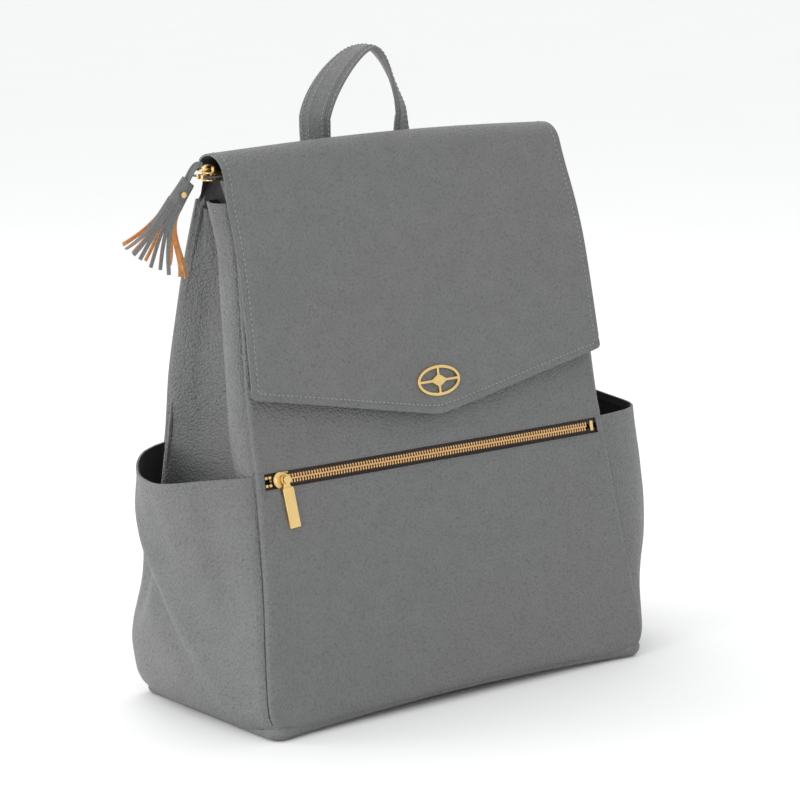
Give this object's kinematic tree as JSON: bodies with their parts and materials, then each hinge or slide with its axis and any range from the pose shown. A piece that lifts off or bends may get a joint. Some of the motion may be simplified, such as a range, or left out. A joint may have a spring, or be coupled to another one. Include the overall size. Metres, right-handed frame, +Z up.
{
  "type": "diaper bag",
  "caption": "Flap-top backpack diaper bag in soft leather with side bottle pockets, a zipped front pocket, a zipped mouth, a grab handle and shoulder straps.",
  "frame": {"origin": "centre of the base panel's underside, on the floor", "axes": "+Z up, -Y the front with the flap, +X the bag's right as seen from the front"},
  "size_m": [0.4508, 0.1884, 0.489],
  "materials": {
    "grey_leather": "fine pebbled grain, satin",
    "black_lining": "smooth woven cloth",
    "zip_tape": "woven dark brown tape",
    "copper_gold_teeth": "polished copper gold",
    "light_gold": "polished light gold plating",
    "board": "matt stiffener sheet",
    "foam": "closed-cell foam",
    "tan_suede": "cut suede edges, grey grain side",
    "webbing": "ribbed woven webbing"
  },
  "bodies": {
    "shell": {"base_panel": "grey_leather", "base_board": "board", "front_panel": "grey_leather", "back_panel": "grey_leather", "back_foam": "foam", "right_gusset": "grey_leather", "left_gusset": "grey_leather", "right_side_pocket": "grey_leather", "left_side_pocket": "grey_leather", "main_lining": "black_lining", "slip_pocket": "black_lining", "mouth_facing_front": "black_lining", "mouth_facing_back": "black_lining", "front_zip_tape_lower": "zip_tape", "front_zip_tape_upper": "zip_tape", "front_zip_teeth_lower": "copper_gold_teeth", "front_zip_teeth_upper": "copper_gold_teeth", "front_zip_end_stops": "light_gold", "front_pocket_bag": "black_lining", "mouth_zip_tape_front": "zip_tape", "mouth_zip_tape_back": "zip_tape", "mouth_zip_teeth_front": "copper_gold_teeth", "mouth_zip_teeth_back": "copper_gold_teeth", "mouth_zip_end_stops": "light_gold", "flap_root": "grey_leather", "snap_female": "light_gold", "handle_patch": "grey_leather", "right_strap_tab": "grey_leather", "left_strap_tab": "grey_leather"},
    "flap_crown": {"flap_crown": "grey_leather", "flap_crown_lining": "black_lining"},
    "flap_front": {"flap_front": "grey_leather", "flap_front_lining": "black_lining", "flap_ornament": "light_gold", "ornament_washers": "light_gold", "snap_male": "light_gold"},
    "front_slider": {"front_zip_slider": "light_gold"},
    "front_pull": {"front_zip_pull": "light_gold"},
    "mouth_slider": {"mouth_zip_slider": "light_gold"},
    "tassel": {"tassel_ring": "light_gold", "tassel_loop": "grey_leather", "tassel_cap": "grey_leather", "tassel_rivet": "light_gold", "tassel_fringe": "tan_suede"},
    "grab_handle": {"grab_handle": "grey_leather"},
    "right_strap": {"right_strap_pad": "grey_leather", "right_strap_adjuster": "light_gold", "right_strap_webbing": "webbing"},
    "left_strap": {"left_strap_pad": "grey_leather", "left_strap_adjuster": "light_gold", "left_strap_webbing": "webbing"}
  },
  "joints": [
    {"name": "flap_lift", "type": "hinge", "parent": "shell", "child": "flap_crown", "pos_m": [0, 0.0243, 0.403], "axis": [-1, 0, 0], "range_deg": [0, 45]},
    {"name": "flap_unfold", "type": "hinge", "parent": "flap_crown", "child": "flap_front", "pos_m": [0, -0.0156, 0.4013], "axis": [-1, 0, 0], "range_deg": [0, 125]},
    {"name": "front_zip_slide", "type": "slide", "parent": "shell", "child": "front_slider", "axis": [1, 0, 0], "range_m": [0, 0.288], "deforming": ["front_zip_teeth_lower", "front_zip_teeth_upper"]},
    {"name": "front_pull_swing", "type": "hinge", "parent": "front_slider", "child": "front_pull", "pos_m": [-0.142, -0.0567, 0.18555], "axis": [0, -0.9827, 0.1853], "range_deg": [-95, 75]},
    {"name": "mouth_zip_slide", "type": "slide", "parent": "shell", "child": "mouth_slider", "axis": [1, 0, 0], "range_m": [0, 0.298], "deforming": ["mouth_zip_tape_front", "mouth_zip_tape_back", "mouth_zip_teeth_front", "mouth_zip_teeth_back", "tassel_loop", "tassel_cap", "tassel_fringe"]},
    {"name": "tassel_swing", "type": "hinge", "parent": "mouth_slider", "child": "tassel", "pos_m": [-0.1609, 0.004, 0.4087], "axis": [0, 1, 0], "range_deg": [0, 40]},
    {"name": "handle_fold", "type": "hinge", "parent": "shell", "child": "grab_handle", "pos_m": [0, 0.035, 0.379], "axis": [-1, 0, 0], "range_deg": [0, 75]},
    {"name": "right_strap_swing", "type": "hinge", "parent": "shell", "child": "right_strap", "pos_m": [0, 0.0355, 0.366], "axis": [1, 0, 0], "range_deg": [0, 18], "deforming": ["right_strap_webbing"]},
    {"name": "left_strap_swing", "type": "hinge", "parent": "shell", "child": "left_strap", "pos_m": [0, 0.0355, 0.366], "axis": [1, 0, 0], "range_deg": [0, 18], "deforming": ["left_strap_webbing"]}
  ]
}
